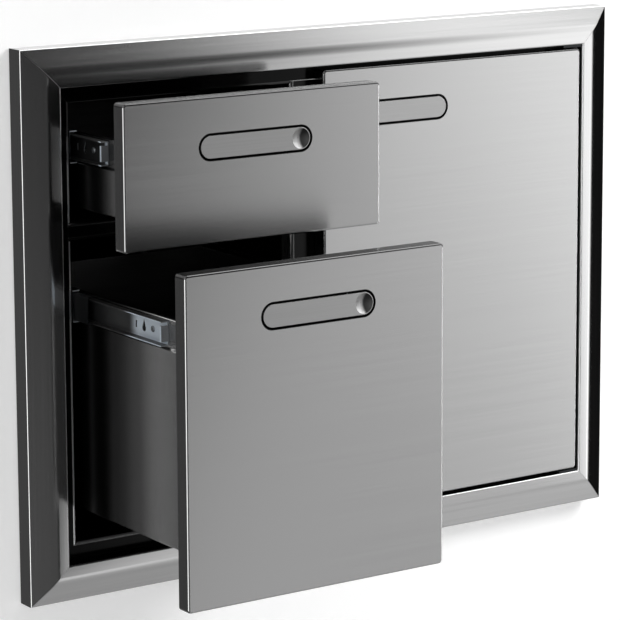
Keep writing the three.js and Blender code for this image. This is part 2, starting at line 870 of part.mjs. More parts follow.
function addFront(name, x0, x1, z0, z1, slotX, dishSide, group, extraCuts = []) {
  const slotZ = z1 - handleDrop - handleSlotHeight / 2;
  add(`${name}_skin`, cut(skin(x0, x1, z0, z1, slotX, slotZ), ...extraCuts), brushed, group);
  add(`${name}_liner`, liner(x0, x1, z0, z1), satin, group);
  addHandle(name.replace("_front", ""), slotX, slotZ, dishSide, group);
}

const drawerSlotX = drawerLeft + drawerHandleLeft + handleSlotLength / 2;
addFront("upper_drawer_front", drawerLeft, drawerRight, upperLow, frontTop, drawerSlotX, 1, upperDrawer);
addFront("lower_drawer_front", drawerLeft, drawerRight, frontLow, lowerTop, drawerSlotX, 1, lowerDrawer);

// Door on pivots at its top and bottom right corners
const hingeX = doorRight - pivotFromSide;
const hingeY = faceY + pivotFromFace;
const doorSlotX = doorLeft + doorHandleLeft + handleSlotLength / 2;
const bushSeat = rod("z", bushWidth + 2 * gap, frontLow - overrun, frontTop + overrun, hingeX, hingeY);
addFront("door_front", doorLeft, doorRight, frontLow, frontTop, doorSlotX, -1, unit, [bushSeat]);

function addPivot(name, doorEdge, railEdge, outward) {
  const span = (a, b) => [Math.min(a, b), Math.max(a, b)];
  const flange = span(doorEdge + outward * gap, doorEdge + outward * (gap + bushFlange));
  const barrel = span(doorEdge - outward * bushLength, doorEdge + outward * (gap + bushFlange / 2));
  const bore = span(doorEdge - outward * (bushLength + overrun), doorEdge + outward * (gap + bushFlange + overrun));
  add(
    `door_${name}_bush`,
    cut(
      join(rod("z", bushFlangeWidth, ...flange, hingeX, hingeY), rod("z", bushWidth, ...barrel, hingeX, hingeY)),
      rod("z", doorPinWidth + 2 * gap, ...bore, hingeX, hingeY),
    ),
    nylon,
  );
  const plate = span(railEdge - outward * gap, railEdge - outward * (gap + pivotPlate));
  const pinHole = span(plate[0] - overrun, plate[1] + overrun);
  add(
    `door_${name}_pivot_plate`,
    cut(
      block(
        hingeX - pivotPlateReach,
        frameWidth - railWidth - rootRadius,
        faceY + pivotPlateFront,
        flangeY - rootRadius,
        ...plate,
      ),
      rod("z", doorPinWidth + 2 * gap, ...pinHole, hingeX, hingeY),
    ),
    zinc,
  );
  const pin = span(railEdge - outward * gap, doorEdge - outward * (bushLength - bushFlange));
  add(`door_${name}_pivot_pin`, rod("z", doorPinWidth, ...pin, hingeX, hingeY), zinc);
}

addPivot("top", frontTop, frameHeight - railWidth, 1);
addPivot("bottom", frontLow, railWidth, -1);

// Magnetic catch in the mullion, and its strike on the door's liner
const catchFace = flangeY;
add(
  "door_magnetic_catch",
  join(
    block(
      catchX - catchWidth / 2,
      catchX + catchWidth / 2,
      catchFace,
      catchFace + catchDepth,
      catchZ - catchHeight / 2,
      catchZ + catchHeight / 2,
    ),
    block(
      catchX - catchWidth / 2,
      catchX + catchWidth / 2,
      flangeY + frameSheet + gap,
      flangeY + frameSheet + gap + cupSheet,
      catchZ - catchHeight / 2 - catchFlange,
      catchZ + catchHeight / 2 + catchFlange,
    ),
  ),
  nylon,
);
const linerBack = faceY + frontThickness;
add(
  "door_strike_plate",
  block(
    catchX - catchWidth / 2,
    catchX + catchWidth / 2,
    linerBack + gap / 3,
    linerBack + gap / 3 + strikeThickness,
    catchZ - catchHeight / 2 - strikeMargin,
    catchZ + catchHeight / 2 + strikeMargin,
  ),
  zinc,
);

export default unit;
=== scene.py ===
import json
import math

import bmesh
import bpy
from mathutils import Matrix, Vector
from mathutils.bvhtree import BVHTree


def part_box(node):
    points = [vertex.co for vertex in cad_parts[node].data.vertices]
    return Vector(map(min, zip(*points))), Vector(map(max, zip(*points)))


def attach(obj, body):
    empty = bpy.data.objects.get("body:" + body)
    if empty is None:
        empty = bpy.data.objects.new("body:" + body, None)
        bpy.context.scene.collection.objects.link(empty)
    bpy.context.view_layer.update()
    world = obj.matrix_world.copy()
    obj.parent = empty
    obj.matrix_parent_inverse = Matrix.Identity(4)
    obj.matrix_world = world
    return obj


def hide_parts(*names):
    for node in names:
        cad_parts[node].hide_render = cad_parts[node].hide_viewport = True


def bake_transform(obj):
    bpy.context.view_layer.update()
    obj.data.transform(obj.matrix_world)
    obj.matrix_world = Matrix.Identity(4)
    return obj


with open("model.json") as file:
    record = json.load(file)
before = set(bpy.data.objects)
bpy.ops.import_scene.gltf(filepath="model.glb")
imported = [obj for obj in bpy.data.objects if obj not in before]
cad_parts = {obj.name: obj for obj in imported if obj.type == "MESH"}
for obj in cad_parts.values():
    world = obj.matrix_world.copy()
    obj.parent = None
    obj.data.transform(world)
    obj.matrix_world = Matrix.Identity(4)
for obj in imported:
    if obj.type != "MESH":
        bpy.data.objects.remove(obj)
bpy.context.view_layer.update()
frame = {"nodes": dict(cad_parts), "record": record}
nodes = frame["nodes"]
bodies = frame["record"]["behaviour"]["bodies"]
body_of = {name: body for body, names in bodies.items() for name in names}

scene = bpy.context.scene
scene.view_settings.view_transform = "Standard"

# Sizes in millimetres from the frame's lower left outer corner, as the part's source has them.
# RAIL and OPENING are how far in from the outer edge the recess and the opening begin, and
# MULLION and CROSS_RAIL are the span of the upright across and of the cross rail up.
FRAME_WIDTH = 800.0
FRAME_HEIGHT = 610.0
LIP_MIDDLE = 8.0
RAIL = 43.0
OPENING = 63.0
FACE_Y = -35.5
MULLION = (348.0, 402.0)
CROSS_RAIL = (398.0, 418.0)


def at(x, y, z):
    """A point given in millimetres from the frame's corner, in metres in the shared frame."""
    return Vector(((x - FRAME_WIDTH / 2) / 1000, y / 1000, (z - LIP_MIDDLE) / 1000))


BAY_MIDDLE = at(205, 200, 305)


def add_object(name, data):
    made = bpy.data.objects.new(name, data)
    scene.collection.objects.link(made)
    return made


def mesh_of(name, made, material):
    """The mesh that the mesh code has built, in one material."""
    mesh = bpy.data.meshes.new(name)
    made.to_mesh(mesh)
    made.free()
    mesh.materials.append(material)
    return mesh


# Camera: its place in millimetres from the frame's corner, its turn in radians, its lens in
# millimetres and its clipping in metres
CAMERA_PLACE = (-1489.8, -2760.9, 960.1)
CAMERA_YAW = 0.5967
CAMERA_PITCH = 0.1692
CAMERA_ROLL = 0.0047
LENS = 171.8
SENSOR = 36.0
SHIFT_Y = -0.15
CLIP_START = 0.05
CLIP_END = 60


def add_camera():
    data = bpy.data.cameras.new("camera")
    camera = add_object("camera", data)
    forward = Vector(
        (
            math.sin(CAMERA_YAW) * math.cos(CAMERA_PITCH),
            math.cos(CAMERA_YAW) * math.cos(CAMERA_PITCH),
            -math.sin(CAMERA_PITCH),
        )
    )
    level = Vector((math.cos(CAMERA_YAW), -math.sin(CAMERA_YAW), 0.0))
    down = forward.cross(level)
    right = math.cos(CAMERA_ROLL) * level + math.sin(CAMERA_ROLL) * down
    turned_down = -math.sin(CAMERA_ROLL) * level + math.cos(CAMERA_ROLL) * down
    turn = Matrix((right, -turned_down, -forward)).transposed().to_4x4()
    camera.matrix_world = Matrix.Translation(at(*CAMERA_PLACE)) @ turn
    data.lens = LENS
    data.sensor_width = SENSOR
    data.shift_y = SHIFT_Y
    data.clip_start = CLIP_START
    data.clip_end = CLIP_END
    bpy.context.scene.camera = camera


add_camera()

# Where the colour sockets are among those of a Mix node
MIX_FIRST, MIX_SECOND, MIX_RESULT = 6, 7, 2


class Tree:
    """Small helpers for a node tree."""

    def __init__(self, tree):
        self.tree = tree
        tree.nodes.clear()

    def node(self, kind, **settings):
        made = self.tree.nodes.new(kind)
        for name, value in settings.items():
            setattr(made, name, value)
        return made

    def put(self, socket, value):
        if isinstance(value, bpy.types.NodeSocket):
            self.tree.links.new(value, socket)
        else:
            socket.default_value = value

    def filled(self, kind, *values):
        """The output of a node whose first inputs have these values."""
        made = self.node(kind)
        for socket, value in zip(made.inputs, values):
            self.put(socket, value)
        return made.outputs[0]

    def math(self, operation, first, second=None):
        made = self.node("ShaderNodeMath", operation=operation)
        self.put(made.inputs[0], first)
        if second is not None:
            self.put(made.inputs[1], second)
        return made.outputs[0]

    def joined(self, operation, values):
        total = values[0]
        for value in values[1:]:
            total = self.math(operation, total, value)
        return total

    def add(self, *values):
        return self.joined("ADD", values)

    def times(self, *values):
        return self.joined("MULTIPLY", values)

    def most(self, *values):
        return self.joined("MAXIMUM", values)

    def minus(self, first, second):
        return self.math("SUBTRACT", first, second)

    def size(self, value):
        return self.math("ABSOLUTE", value)

    def rise(self, value, low, high, start=0.0, end=1.0):
        """From start to end as value goes from low to high, with soft ends."""
        made = self.node("ShaderNodeMapRange", interpolation_type="SMOOTHSTEP")
        self.put(made.inputs["Value"], value)
        self.put(made.inputs["From Min"], low)
        self.put(made.inputs["From Max"], high)
        self.put(made.inputs["To Min"], start)
        self.put(made.inputs["To Max"], end)
        return made.outputs["Result"]

    def fall(self, value, low, high):
        return self.rise(value, low, high, 1.0, 0.0)

    def between(self, value, low, high, soft):
        """One inside low to high, and none outside, over a soft width."""
        return self.times(
            self.rise(value, low - soft / 2, low + soft / 2),
            self.fall(value, high - soft / 2, high + soft / 2),
        )

    def mix(self, share, first, second):
        made = self.node("ShaderNodeMix", data_type="RGBA")
        self.put(made.inputs["Factor"], share)
        self.put(made.inputs[MIX_FIRST], first)
        self.put(made.inputs[MIX_SECOND], second)
        return made.outputs[MIX_RESULT]

    def split(self, vector):
        made = self.node("ShaderNodeSeparateXYZ")
        self.put(made.inputs[0], vector)
        return made.outputs

    def place(self):
        """The point's place on the object itself, in metres."""
        return self.node("ShaderNodeTexCoord").outputs["Object"]

    def normal(self):
        return self.node("ShaderNodeTexCoord").outputs["Normal"]

    def noise(self, scale, detail):
        """Noise in the object's own place, with its own scale along each axis."""
        stretch = self.node("ShaderNodeMapping")
        self.put(stretch.inputs["Vector"], self.place())
        self.put(stretch.inputs["Scale"], scale)
        made = self.node("ShaderNodeTexNoise")
        self.put(made.inputs["Vector"], stretch.outputs[0])
        self.put(made.inputs["Scale"], 1.0)
        self.put(made.inputs["Detail"], detail)
        return made.outputs[0]

    def bump(self, surface, strength, distance, height):
        made = self.node("ShaderNodeBump")
        self.put(made.inputs["Strength"], strength)
        self.put(made.inputs["Distance"], distance)
        self.put(made.inputs["Height"], height)
        self.put(surface.inputs["Normal"], made.outputs[0])


def grey(value, blue=0.0):
    return (value, value * (1 + blue / 2), value * (1 + blue), 1.0)


# Studio: a pale room with dark flags, which the metal mirrors. Its parts lie by direction in
# degrees: turn is -90 straight ahead of the fronts, 0 at the right and 180 at the left, and lift
# is 90 straight up. A level is how bright the frame's metal, of reflectance METAL, shows a part.
METAL = 0.62
DIFFUSE_LEVEL = 0.5
CARD_LEVEL = 0.95
STRIP_LEVEL = 1.3
SIDE_LEVEL = 3.5
CEILING_LEVEL = 0.6
AHEAD_LEVEL = 0.6
LEFT_LEVEL = 0.45
LOW_LEVEL = 0.25
ROOM_LEVEL = 0.004


def studio(t):
    """How bright the studio is in each direction, divided by the metal's reflectance."""
    x, y, z = t.split(t.node("ShaderNodeTexCoord").outputs["Generated"])
    turn = t.math("DEGREES", t.math("ARCTAN2", y, x))
    lift = t.math("DEGREES", t.math("ARCSINE", z))
    card_end = t.fall(turn, -46.0, -34.0)

    # A tall bright card at the front right, whose left edge leans and whose foot steps down
    # towards the right
    lean = t.times(t.add(lift, 7.0), 0.2)
    foot = t.add(
        t.rise(turn, -51.2, -48.8, -9.0, -17.0),
        t.rise(turn, -56.6, -55.0, 0.9, 0.0),
    )
    card = t.times(
        t.rise(t.minus(turn, lean), -60.6, -52.1),
        card_end,
        t.rise(t.minus(lift, foot), -3.5, 3.0),
    )
    # A pale floor whose far edge drops away towards the left, in its near and its far part
    beyond = t.times(t.most(t.minus(-56.5, turn), 0.0), 2.4)
    far = t.rise(lift, -34.0, -20.0)
    near_tone = t.rise(t.add(turn, t.times(lift, 1.22)), -103.0, -82.0, 0.23, 0.43)
    far_tone = t.rise(turn, -58.8, -53.2, 0.64, 0.33)
    floor = t.times(
        t.fall(t.add(lift, beyond), -10.5, -5.5),
        t.rise(turn, -70.0, -61.0),
        t.add(
            t.times(near_tone, t.fall(turn, -24.0, -14.0), t.minus(1.0, far)),
            t.times(far_tone, card_end, far),
        ),
        t.minus(1.0, card),
    )
    # Dark flags ahead, a strip light beyond them at the left, light walls behind at the left and
    # at the right, and a white ceiling
    flags = t.times(t.rise(lift, -18.0, -4.0, 0.05, 0.016), t.between(turn, -132.0, -70.0, 12.0))
    strip = t.times(t.between(turn, -172.0, -136.0, 8.0), t.rise(lift, -32.0, -22.0))
    wall = t.times(t.between(turn, 100.0, 176.0, 16.0), t.rise(lift, 2.0, 18.0, 0.042, 0.5))
    near_wall = t.times(t.between(turn, 36.0, 100.0, 12.0), t.rise(lift, -2.0, 4.0, 0.25, 0.6))
    ceiling = t.rise(lift, 60.0, 74.0)
    # Fills, mostly for other views than the photograph's: high ahead, level ahead, at the left,
    # and low from ahead to the right
    below_high = t.fall(lift, 6.0, 16.0)
    ahead = t.times(
        t.between(turn, -146.0, -76.0, 8.0),
        t.rise(lift, 6.0, 16.0),
        t.fall(lift, 34.0, 50.0),
    )
    level = t.times(t.between(turn, -101.0, -73.0, 6.0), t.rise(lift, -3.5, 5.0), below_high)
    left = t.times(t.between(turn, -144.0, -120.0, 6.0), t.rise(lift, -36.0, -26.0), below_high)
    low = t.times(t.between(turn, -100.0, 24.0, 10.0), t.fall(lift, -36.0, -26.0))
    # A small strong light high at the right, for the fronts' right-hand edges and the dishes
    side = t.times(t.between(turn, -32.0, 22.0, 10.0), t.between(lift, 14.0, 62.0, 12.0))
    shown = t.add(
        t.times(card, CARD_LEVEL),
        t.most(floor, t.times(low, LOW_LEVEL)),
        flags,
        t.times(strip, STRIP_LEVEL),
        t.times(side, SIDE_LEVEL),
        t.times(ceiling, CEILING_LEVEL),
        wall,
        near_wall,
        t.times(ahead, AHEAD_LEVEL),
        t.times(level, AHEAD_LEVEL),
        t.times(left, LEFT_LEVEL),
        ROOM_LEVEL,
    )
    return t.times(shown, 1 / METAL)


def build_world():
    world = bpy.data.worlds.new("studio")
    scene.world = world
    world.use_nodes = True
    t = Tree(world.node_tree)
    path = t.node("ShaderNodeLightPath")
    glossy = path.outputs["Is Glossy Ray"]
    strength = t.add(
        t.times(studio(t), glossy),
        t.times(t.minus(1.0, glossy), DIFFUSE_LEVEL),
    )
    lit = t.filled("ShaderNodeBackground", grey(1.0), strength)
    seen = t.filled("ShaderNodeBackground", grey(1.0), 1.0)
    chosen = t.filled("ShaderNodeMixShader", path.outputs["Is Camera Ray"], lit, seen)
    t.put(t.node("ShaderNodeOutputWorld").inputs["Surface"], chosen)


build_world()

# One soft light, high at the front right, in metres and watts
LIGHT_PLACE = Vector((2.2, -2.4, 2.6))
LIGHT_TARGET = Vector((0.0, 0.0, 0.25))
LIGHT_SIZE = 1.6
LIGHT_POWER = 105


def add_light():
    data = bpy.data.lights.new("soft_light_upper_right", "AREA")
    data.shape = "RECTANGLE"
    data.size = data.size_y = LIGHT_SIZE
    data.energy = LIGHT_POWER
    light = add_object("soft_light_upper_right", data)
    aim = (LIGHT_TARGET - LIGHT_PLACE).to_track_quat("-Z", "Y")
    light.matrix_world = Matrix.Translation(LIGHT_PLACE) @ aim.to_matrix().to_4x4()
    light.visible_glossy = False


add_light()

# Stage: the island's white front wall with the unit's cut-out, and the floor below it. The
# cut-out's corners are in millimetres from the frame's corner, and the rest is in metres.
WALL_Y = 0.0006
WALL_TOP = 5.0
FLOOR_Z = -0.32
FLOOR_FRONT = -12.0
STAGE_SIDE = 6.0
CUT_OUT = ((45, 0, 45), (755, 0, 565))
PAPER = 0.8
PAPER_GLOW = 0.27


def stage_white():
    """White paper, which a view from behind looks through."""
    material = bpy.data.materials.new("stage_white")
    material.use_nodes = True
    t = Tree(material.node_tree)
    camera_ray = t.node("ShaderNodeLightPath").outputs["Is Camera Ray"]
    paper = t.filled("ShaderNodeBsdfDiffuse", grey(PAPER))
    glow = t.filled("ShaderNodeEmission", grey(1.0), t.times(camera_ray, PAPER_GLOW))
    both = t.filled("ShaderNodeAddShader", paper, glow)
    clear = t.node("ShaderNodeBsdfTransparent").outputs[0]
    behind = t.node("ShaderNodeNewGeometry").outputs["Backfacing"]
    chosen = t.filled("ShaderNodeMixShader", behind, both, clear)
    t.put(t.node("ShaderNodeOutputMaterial").inputs["Surface"], chosen)
    return material


def add_stage():
    low, high = (at(*corner) for corner in CUT_OUT)
    across = (-STAGE_SIDE, low.x, high.x, STAGE_SIDE)
    upward = (FLOOR_Z, low.z, high.z, WALL_TOP)
    made = bmesh.new()
    grid = [[made.verts.new((x, WALL_Y, z)) for x in across] for z in upward]
    for row, (lower, upper) in enumerate(zip(grid, grid[1:])):
        for column in range(3):
            if (row, column) != (1, 1):
                after = column + 1
                made.faces.new((lower[column], lower[after], upper[after], upper[column]))
    front = [made.verts.new((x, FLOOR_FRONT, FLOOR_Z)) for x in across]
    for column in range(3):
        after = column + 1
        made.faces.new((front[column], front[after], grid[0][after], grid[0][column]))
    mesh = mesh_of("island_wall_and_floor", made, stage_white())
    stage = add_object("island_wall_and_floor", mesh)
    stage.visible_glossy = False


add_stage()


# Materials. Places in them are the object's own, in metres.
def surface_of(name, metallic=1.0):
    material = bpy.data.materials.new(name)
    material.use_nodes = True
    t = Tree(material.node_tree)
    surface = t.node("ShaderNodeBsdfPrincipled")
    t.put(surface.inputs["Metallic"], metallic)
    t.put(t.node("ShaderNodeOutputMaterial").inputs["Surface"], surface.outputs[0])
    return material, t, surface


def brush(
    t,
    surface,
    grain,
    rough,
    spread,
    depth=None,
    smooth_folds=None,
    across=None,
    stretch=0.0,
    dulled=None,
):
    """Grain: stretched noise that varies the roughness and tilts the surface a little.
    Reflections spread more in the direction that lies across the grain."""
    if across is not None:
        t.put(surface.inputs["Anisotropic"], stretch)
        t.put(surface.inputs["Tangent"], t.filled("ShaderNodeCombineXYZ", *across))
    fine = t.noise(grain, 2.0)
    coarse = t.noise(tuple(value * 0.17 for value in grain), 2.0)
    streaks = t.add(t.times(fine, 0.6), t.times(coarse, 0.4))
    varied = t.rise(streaks, 0.35, 0.65, rough - spread, rough + spread)
    strength = 1.0
    if smooth_folds is not None:
        # Folded edges have a roughness of their own, and no grain
        flat = t.rise(t.size(t.split(t.normal())[1]), 0.985, 0.9995)
        varied = t.add(t.times(varied, flat), t.times(smooth_folds, t.minus(1.0, flat)))
        strength = flat
    if dulled is not None:
        varied = t.most(varied, t.times(dulled, 0.5))
    t.put(surface.inputs["Roughness"], varied)
    if depth is not None:
        t.bump(surface, strength, depth, streaks)
    return streaks


def streaked(t, streaks, dark, bright):
    return t.mix(t.rise(streaks, 0.3, 0.7), grey(dark), grey(bright))


def recess_shade_mask(t):
    """Painted shade: one on the recess wall and flange of the frame, which are painted near black.
    """
    x, y, z = t.split(t.place())
    middle = (FRAME_HEIGHT / 2 - LIP_MIDDLE) / 1000
    from_side = t.minus(FRAME_WIDTH / 2000, t.size(x))
    from_end = t.minus(FRAME_HEIGHT / 2000, t.size(t.minus(z, middle)))
    inset = t.math("MINIMUM", from_side, from_end)
    return t.times(
        t.rise(inset, (RAIL - 0.5) / 1000, (RAIL + 0.1) / 1000),
        t.rise(y, (FACE_Y + 1.8) / 1000, (FACE_Y + 3.4) / 1000),
        t.fall(t.split(t.normal())[1], 0.3, 0.5),
        # The opening's own edge stays bright, but for the part near the top
        t.most(
            t.fall(inset, (OPENING - 4.4) / 1000, (OPENING - 3.4) / 1000),
            t.rise(z, middle + 0.2, middle + 0.21, 0.0, 0.93),
        ),
    )


ACROSS_Z = (0.0, 0.0, 1.0)
ACROSS_X = (1.0, 0.0, 0.0)


def frame_steel(name, grain, across, rough, stretch, right_painted_light=None):
    """The frame's brushed steel. The right stile has painted light of its own, a tone at its foot
    and one at its top.
    """
    material, t, surface = surface_of(name)
    # Folds that look towards the opening are dulled
    from_middle = t.split(t.place())[0]
    inward = t.times(from_middle, t.split(t.normal())[0], -1.0)
    inner = t.rise(inward, 0.04, 0.08)
    streaks = brush(
        t, surface, grain, rough, spread=0.006, across=across, stretch=stretch, dulled=inner
    )
    tone = streaked(t, streaks, 0.6, 0.64)
    # Painted light: the right stile is painted lighter, with one tone at its foot and another at
    # its top
    if right_painted_light is not None:
        value = t.rise(t.split(t.place())[2], 0.1, 0.56, *right_painted_light)
        right = t.filled("ShaderNodeCombineColor", value, value, value)
        tone = t.mix(t.rise(from_middle, 0.33, 0.35), tone, right)
    # Painted highlight: the folds that look towards the opening are painted bright
    tone = t.mix(inner, tone, grey(0.95))
    # Painted shade: the frame's recess wall and flange are painted near black
    t.put(surface.inputs["Base Color"], t.mix(recess_shade_mask(t), tone, grey(0.014)))
    return material


def slot_distance(t, handle):
    """How far a point is from the middle line of a handle's plate, and the plate's radius."""
    low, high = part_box(handle)
    radius = (high.z - low.z) / 2
    x, _, z = t.split(t.place())
    along = t.most(t.minus(low.x + radius, x), t.minus(x, high.x - radius), 0.0)
    upward = t.minus(z, (low.z + high.z) / 2)
    distance = t.math("SQRT", t.add(t.times(along, along), t.times(upward, upward)))
    return distance, radius


def front_steel(name, handle, shade):
    material, t, surface = surface_of(name)
    side, _, upward = t.split(t.normal())
    # The right-hand folds are dulled, and the others are burnished
    folds = t.rise(side, 0.05, 0.15, 0.16, 0.5)
    streaks = brush(
        t,
        surface,
        grain=(5.0, 700.0, 700.0),
        rough=0.215,
        spread=0.007,
        depth=0.0000009,
        smooth_folds=folds,
        across=ACROSS_Z,
        stretch=0.82,
    )
    tone = streaked(t, streaks, shade * 0.98, shade * 1.02)
    # Painted highlight: the bend of the right-hand fold is painted bright
    tone = t.mix(t.between(side, 0.15, 0.85, 0.1), tone, grey(0.95))
    # Painted shade: the top fold is painted dark, and darkest on its flat top
    tone = t.mix(t.rise(upward, 0.01, 0.08), tone, grey(0.08))
    tone = t.mix(t.rise(upward, 0.85, 0.95), tone, grey(0.05))
    # So is a narrow ring round the handle's slot: a painted shadow that widens the gap's dark line
    distance, radius = slot_distance(t, handle)
    slot_painted_shadow = t.fall(distance, radius + 0.0023, radius + 0.0028)
    t.put(surface.inputs["Base Color"], t.mix(slot_painted_shadow, tone, grey(0.02)))
    return material


def handle_steel(name, handle, shade):
    material, t, surface = surface_of(name)
    streaks = brush(
        t,
        surface,
        grain=(6.0, 800.0, 800.0),
        rough=0.3,
        spread=0.02,
        depth=0.0000018,
        smooth_folds=0.6,
    )
    tone = streaked(t, streaks, shade * 0.96, shade * 1.04)
    # Painted light and shade: the finger dish is painted from dark through grey to bright across
    # the dish, by the way its faces turn
    side, ahead, _ = t.split(t.normal())
    dished = t.rise(ahead, -0.999, -0.99)
    dish_painted_shading = t.mix(t.rise(side, -0.3, -0.02), grey(0.06), grey(0.62))
    tone = t.mix(dished, tone, t.mix(t.rise(side, 0.0, 0.2), dish_painted_shading, grey(0.75)))
    # Painted shadow: the plate's outer edge is painted dark, as the gap round it
    distance, radius = slot_distance(t, handle)
    edge = t.rise(distance, radius - 0.0007, radius - 0.0002)
    t.put(surface.inputs["Base Color"], t.mix(edge, tone, grey(0.02)))
    return material


def sheet_steel(name, shade, rough, dark=0.012, inner_point=None, painted_shades=(), depth=0.000002):
    """Satin sheet with painted shade: dark on the faces that look towards an inner point or to the
    front, and painted shade in steps along its depth: where each begins, where it is full, and its
    tone."""
    material, t, surface = surface_of(name)
    spread = 0.004 if depth is None else 0.02
    streaks = brush(t, surface, (3.0, 3.0, 260.0), rough, spread, depth)
    tone = streaked(t, streaks, shade * 0.97, shade * 1.03)
    # Painted shade on the faces that look into the part or to the front
    if inner_point is not None:
        inward = t.node("ShaderNodeVectorMath", operation="SUBTRACT")
        t.put(inward.inputs[0], tuple(inner_point))
        t.put(inward.inputs[1], t.place())
        facing = t.node("ShaderNodeVectorMath", operation="DOT_PRODUCT")
        t.put(facing.inputs[0], inward.outputs[0])
        t.put(facing.inputs[1], t.normal())
        tone = t.mix(t.rise(facing.outputs["Value"], 0.0, 0.02), tone, grey(dark))
        ahead = t.split(t.normal())[1]
        tone = t.mix(t.fall(ahead, -0.9, -0.5), tone, grey(dark))
    # Painted shade in steps along the depth
    for start, end, value in painted_shades:
        tone = t.mix(t.rise(t.split(t.place())[1], start, end), tone, grey(value))
    t.put(surface.inputs["Base Color"], tone)
    return material


def divider_steel(name, axis, span):
    """The dividers' plates lie in the dark behind the fronts, so their flat faces are painted near
    black as painted shade; their bends stay bright.
    """
    material, t, surface = surface_of(name)
    upright = axis == 0
    grain = (200.0, 200.0, 5.0) if upright else (5.0, 200.0, 200.0)
    streaks = brush(t, surface, grain, rough=0.22, spread=0.02, depth=0.000004)
    shift = FRAME_WIDTH / 2 if upright else LIP_MIDDLE
    low, high = ((edge - shift) / 1000 for edge in span)
    flat = t.between(t.split(t.place())[axis], low + 0.0042, high - 0.0042, 0.001)
    if upright:
        # The upright's ends are under the frame's rails, and are painted dark as shade too
        flat = t.most(flat, t.size(t.split(t.normal())[2]))
    tone = streaked(t, streaks, 0.42, 0.48)
    t.put(surface.inputs["Base Color"], t.mix(flat, tone, grey(0.02)))
    return material


def zinc(
    name, shade, rough, painted_shade_from=None, metallic=0.8, ends_only=False, web_only=False, blue=0.1
):
    """Bright zinc: bluish, with the soft spangle of plated strip, and painted dark as shade beyond
    a given depth. Only a cabinet member's front ends, or only a drawer member's web, keep its
    tone: the other faces are painted darker as shade."""
    material, t, surface = surface_of(name, metallic)
    cloud = t.noise((60.0, 40.0, 60.0), 3.0)
    tone = t.mix(t.rise(cloud, 0.35, 0.65), grey(shade * 0.88, blue + 0.05), grey(shade, blue))
    side, ahead, upward = t.split(t.normal())
    # Painted shade: the member is painted near black behind the given depth
    if painted_shade_from is not None:
        tone = t.mix(t.rise(t.split(t.place())[1], *painted_shade_from), tone, grey(0.01, 0.1))
    # Painted shade: a drawer member's faces other than its web are painted darker, and its flanges
    # near black
    if web_only:
        tone = t.mix(t.rise(t.size(side), 0.5, 0.9), grey(0.14, 0.12), tone)
        tone = t.mix(t.rise(t.size(upward), 0.5, 0.9), tone, grey(0.015))
    # Painted shade: a cabinet member is painted near black but for its front ends
    if ends_only:
        from_middle = t.size(t.minus(t.split(t.place())[0], BAY_MIDDLE.x))
        shown = t.times(t.fall(ahead, -0.95, -0.8), t.fall(from_middle, 0.1402, 0.1408))
        tone = t.mix(shown, grey(0.015, 0.1), tone)
    t.put(surface.inputs["Base Color"], tone)
    t.put(surface.inputs["Roughness"], t.rise(cloud, 0.3, 0.7, rough - 0.04, rough + 0.05))
    t.bump(surface, 0.5, 0.00001, t.noise((500.0, 500.0, 500.0), 2.0))
    return material


def moulded_plastic(name):
    material, t, surface = surface_of(name, 0.0)
    pores = t.noise((900.0, 900.0, 900.0), 2.0)
    t.put(surface.inputs["Base Color"], t.mix(pores, grey(0.015), grey(0.03)))
    t.put(surface.inputs["Roughness"], t.rise(pores, 0.3, 0.7, 0.45, 0.6))
    t.bump(surface, 0.4, 0.00003, pores)
    return material


rail_metal = frame_steel(
    "brushed_rail", grain=(5.0, 600.0, 600.0), across=ACROSS_Z, rough=0.15, stretch=0.5
)
stile_metal = frame_steel(
    "brushed_stile",
    grain=(600.0, 600.0, 5.0),
    across=ACROSS_X,
    rough=0.14,
    stretch=0.3,
    right_painted_light=(0.79, 0.64),
)
# Painted light and shade: the three fronts and their handles are one steel, each given its own
# tone for how the light falls on it
FRONT_PAINTED_TONES = {"upper": 0.465, "lower": 0.5, "door": 0.583}
front_metals = {}
handle_metals = {}
for name in nodes:
    if name.endswith("_handle"):
        owner = name.split("_")[0]
        shade = FRONT_PAINTED_TONES[owner]
        handle_metals[owner] = handle_steel(f"{name}_brushed", name, shade)
        front_metals[owner] = front_steel(f"{owner}_front_brushed", name, shade)
satin_metal = sheet_steel("satin_sheet", shade=0.36, rough=0.24)
# Painted shade: a drawer box's side is painted with the shade of the front and of the opening
# that it falls into, the upper box darker all over: its tone at the front, then where along the
# side it passes to other tones
BOX_PAINTED_SHADES = {
    "upper": (0.18, ((0.077, 0.097, 0.08),)),
    "lower": (0.67, ((0.049, 0.121, 0.045), (0.124, 0.154, 0.022), (0.162, 0.178, 0.06))),
}
box_metals = {}
for drawer, (front_shade, painted_shades) in BOX_PAINTED_SHADES.items():
    low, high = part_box(f"{drawer}_drawer_box")
    inside = ((low.x + high.x) / 2, (low.y + high.y) / 2, (low.z + high.z) / 2 + 0.01)
    box_metals[drawer] = sheet_steel(
        f"{drawer}_box_sheet",
        shade=front_shade,
        rough=0.26,
        dark=0.02,
        inner_point=Vector(inside),
        painted_shades=[(low.y + start, low.y + end, value) for start, end, value in painted_shades],
        depth=None,
    )
# Painted shade: the cup behind each handle's slot is painted near black
cup_metal = sheet_steel("dark_cup_sheet", shade=0.02, rough=0.6)
# Painted shade: the housing's faces that look into the bay or to the front are painted dark
housing_metal = sheet_steel(
    "housing_sheet", shade=0.5, rough=0.4, dark=0.01, inner_point=BAY_MIDDLE
)
mullion_metal = divider_steel("mullion_sheet", axis=0, span=MULLION)
cross_rail_metal = divider_steel("cross_rail_sheet", axis=2, span=CROSS_RAIL)
zinc_metal = zinc("zinc_plate", shade=0.7, rough=0.34)
cabinet_member_metal = zinc("cabinet_member_zinc", shade=0.9, rough=0.34, ends_only=True)
